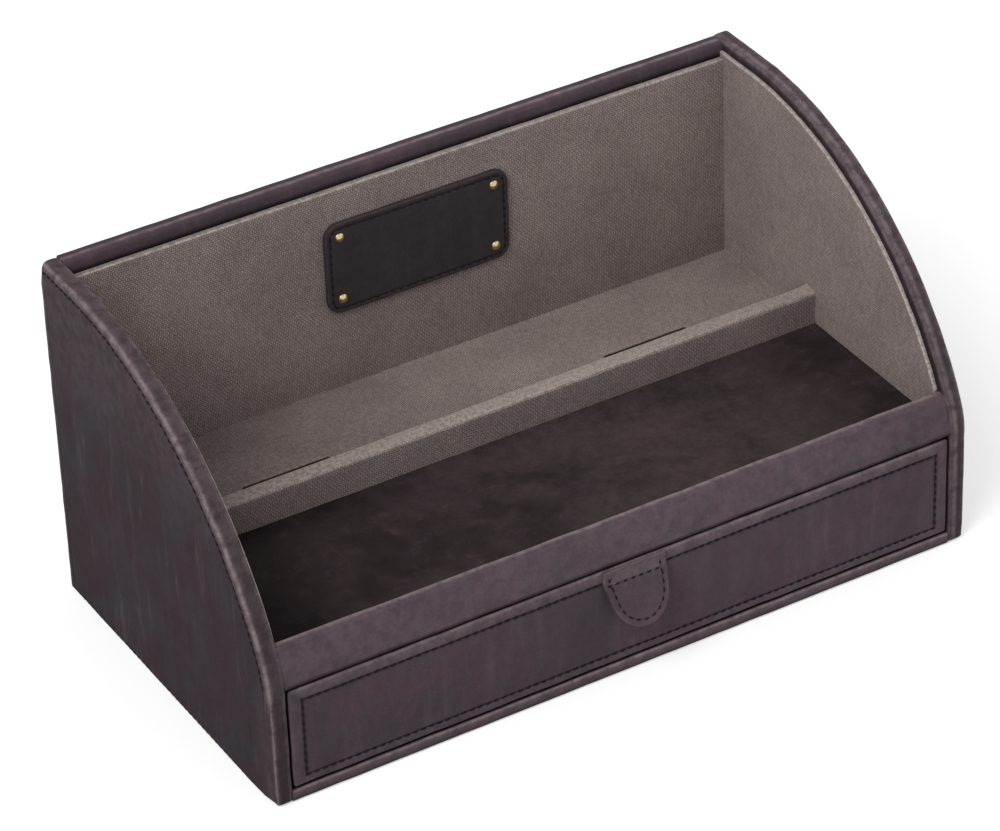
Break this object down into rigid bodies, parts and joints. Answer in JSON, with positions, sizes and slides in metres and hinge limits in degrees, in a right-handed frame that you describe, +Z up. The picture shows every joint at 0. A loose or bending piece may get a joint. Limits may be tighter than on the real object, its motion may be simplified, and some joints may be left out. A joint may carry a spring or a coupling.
{
  "type": "valet box",
  "caption": "Leather covered valet box with curved open sides, a canvas lined tray and shelf with a low divider, and a shallow drawer with a pull tab below.",
  "frame": {"origin": "underside of the felt, at the middle of the case's width and depth", "axes": "+X across the width, to the right seen from the drawer side; -Y out of the drawer side; +Z up"},
  "size_m": [0.3006, 0.1727, 0.1472],
  "materials": {
    "case_leather": "distressed, satin",
    "tray_leather": "dark, matte",
    "badge_leather": "near black, satin",
    "canvas": "fine woven canvas",
    "felt": "short napped felt",
    "brass": "polished, slightly aged",
    "board": "fibreboard, raw"
  },
  "bodies": {
    "case": {"side_board_left": "board", "side_board_right": "board", "side_leather_left": "case_leather", "side_leather_right": "case_leather", "lining_left": "canvas", "lining_right": "canvas", "back_board": "board", "back_leather": "case_leather", "lining_back": "canvas", "base_board": "board", "base_leather": "case_leather", "base_felt": "felt", "bay_back_board": "board", "deck_board": "board", "tray_leather": "tray_leather", "shelf_canvas": "canvas", "fascia_board": "board", "fascia_leather": "case_leather", "divider_board": "board", "divider_canvas": "canvas", "badge": "badge_leather", "badge_pins": "brass"},
    "drawer": {"drawer_front_board": "board", "drawer_front_leather": "case_leather", "drawer_side_left": "board", "drawer_side_right": "board", "drawer_bottom": "board", "drawer_back": "board", "drawer_floor_canvas": "canvas", "drawer_lining_left": "canvas", "drawer_lining_right": "canvas", "drawer_lining_front": "canvas", "drawer_lining_back": "canvas", "pull_tab_root": "case_leather"},
    "pull_tab_flap": {"pull_tab": "case_leather"}
  },
  "joints": [
    {"name": "drawer_slide", "type": "slide", "parent": "case", "child": "drawer", "axis": [0, -1, 0], "range_m": [0, 0.065]},
    {"name": "pull_tab_bend", "type": "hinge", "parent": "drawer", "child": "pull_tab_flap", "pos_m": [0.0016, -0.08275, 0.0427], "axis": [-1, 0, 0], "range_deg": [-20, 60]}
  ]
}
